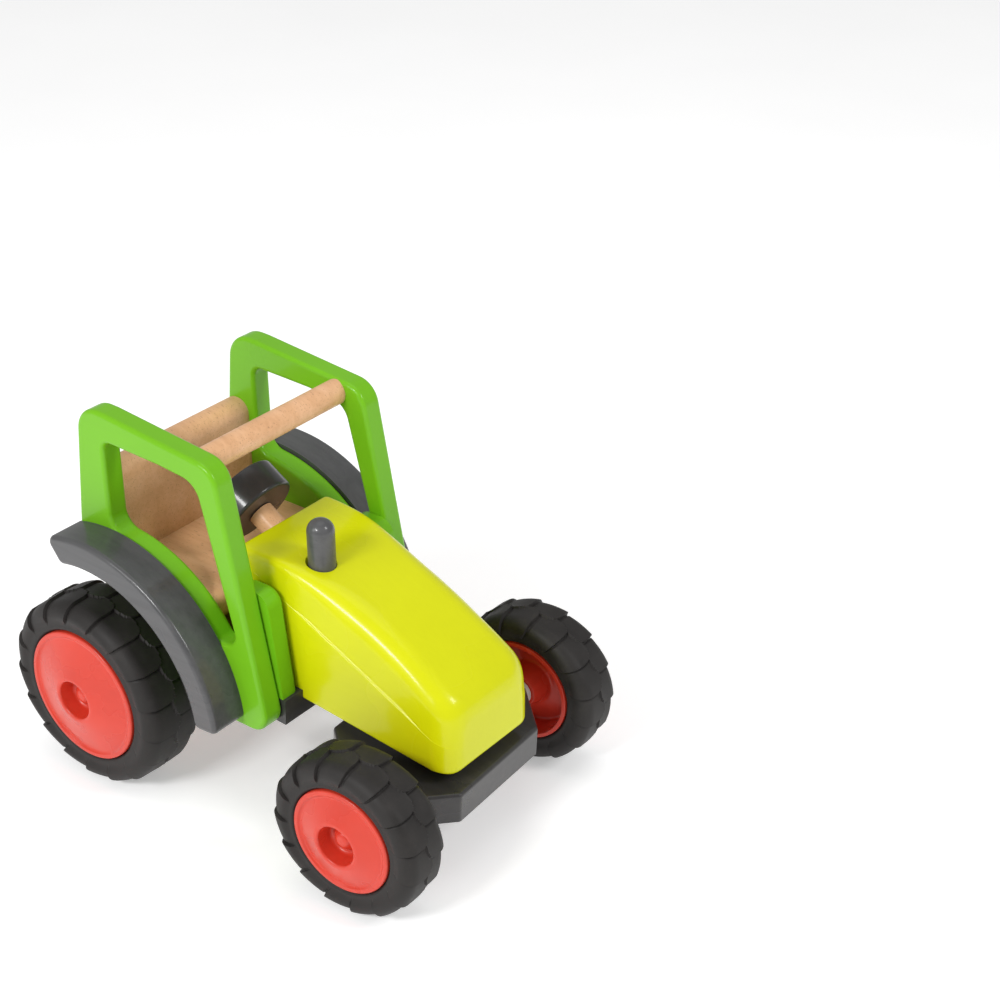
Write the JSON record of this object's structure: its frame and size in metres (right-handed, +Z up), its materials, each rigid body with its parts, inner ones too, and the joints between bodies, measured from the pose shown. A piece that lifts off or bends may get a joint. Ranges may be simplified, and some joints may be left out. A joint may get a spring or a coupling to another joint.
{
  "type": "toy tractor",
  "caption": "Wooden toy tractor with open cab, sloping hood, exhaust peg, grey fenders, steerable front axle board, lugged tyres on cone-shaped red hubs and a tow peg.",
  "frame": {"origin": "on the floor at the middle of the tractor's bounding box", "axes": "+X forward along the tractor, +Y to the tractor's left, +Z up"},
  "size_m": [0.2644, 0.1807, 0.1964],
  "materials": {
    "lime_wood": "lime yellow satin lacquer on beech",
    "green_wood": "green satin lacquer on beech",
    "grey_wood": "mid grey satin lacquer on beech",
    "dark_wood": "dark grey satin lacquer on beech",
    "beech": "clear satin lacquer, grain visible",
    "tyre": "soft matt rubber with moulded lugs",
    "red_plastic": "smooth moulded red plastic",
    "steel": "zinc plated",
    "nylon": "natural nylon"
  },
  "bodies": {
    "tractor": {"hood": "lime_wood", "cab_panel_left": "green_wood", "cab_panel_right": "green_wood", "cab_spacer_left": "green_wood", "cab_spacer_right": "green_wood", "fender_left": "grey_wood", "fender_right": "grey_wood", "chassis_board": "grey_wood", "exhaust_peg": "grey_wood", "rear_axle_block": "beech", "steering_column": "beech", "backrest": "beech", "seat": "beech", "seat_riser": "beech", "roof_dowel": "beech", "tow_peg": "beech", "side_dowels_left": "beech", "side_dowels_right": "beech", "fender_dowels_left": "beech", "fender_dowels_right": "beech", "axle_cap_rear_left": "red_plastic", "axle_cap_rear_right": "red_plastic", "hood_screws": "steel", "pivot_bolt": "steel", "rear_axle_rod": "steel", "steering_screw": "steel", "pivot_washer": "nylon", "rear_wheel_washers": "nylon"},
    "front_axle": {"front_axle_block": "grey_wood", "front_axle_rod": "steel", "front_wheel_washers": "nylon", "axle_cap_front_left": "red_plastic", "axle_cap_front_right": "red_plastic"},
    "steering_wheel": {"steering_wheel": "dark_wood"},
    "wheel_rear_left": {"tyre_rear_left": "tyre", "hub_rear_left": "red_plastic"},
    "wheel_front_left": {"tyre_front_left": "tyre", "hub_front_left": "red_plastic"},
    "wheel_rear_right": {"tyre_rear_right": "tyre", "hub_rear_right": "red_plastic"},
    "wheel_front_right": {"tyre_front_right": "tyre", "hub_front_right": "red_plastic"}
  },
  "joints": [
    {"name": "steering", "type": "hinge", "parent": "tractor", "child": "front_axle", "pos_m": [0.0704, 0, 0.051], "axis": [0.0611, 0, 0.9981], "range_deg": [-21, 15]},
    {"name": "steering_wheel_spin", "type": "hinge", "parent": "tractor", "child": "steering_wheel", "pos_m": [-0.0376, 0, 0.137], "axis": [-0.8572, 0, 0.515], "continuous": true},
    {"name": "rear_wheel_left", "type": "hinge", "parent": "tractor", "child": "wheel_rear_left", "pos_m": [-0.0776, 0, 0.0505], "axis": [0, 1, 0], "continuous": true},
    {"name": "front_wheel_left", "type": "hinge", "parent": "front_axle", "child": "wheel_front_left", "pos_m": [0.08658, 0.00088, 0.0415], "axis": [-0.0522, 0.9986, 0.0032], "continuous": true},
    {"name": "rear_wheel_right", "type": "hinge", "parent": "tractor", "child": "wheel_rear_right", "pos_m": [-0.0776, 0, 0.0505], "axis": [0, 1, 0], "continuous": true},
    {"name": "front_wheel_right", "type": "hinge", "parent": "front_axle", "child": "wheel_front_right", "pos_m": [0.08658, 0.00088, 0.0415], "axis": [-0.0522, 0.9986, 0.0032], "continuous": true}
  ]
}
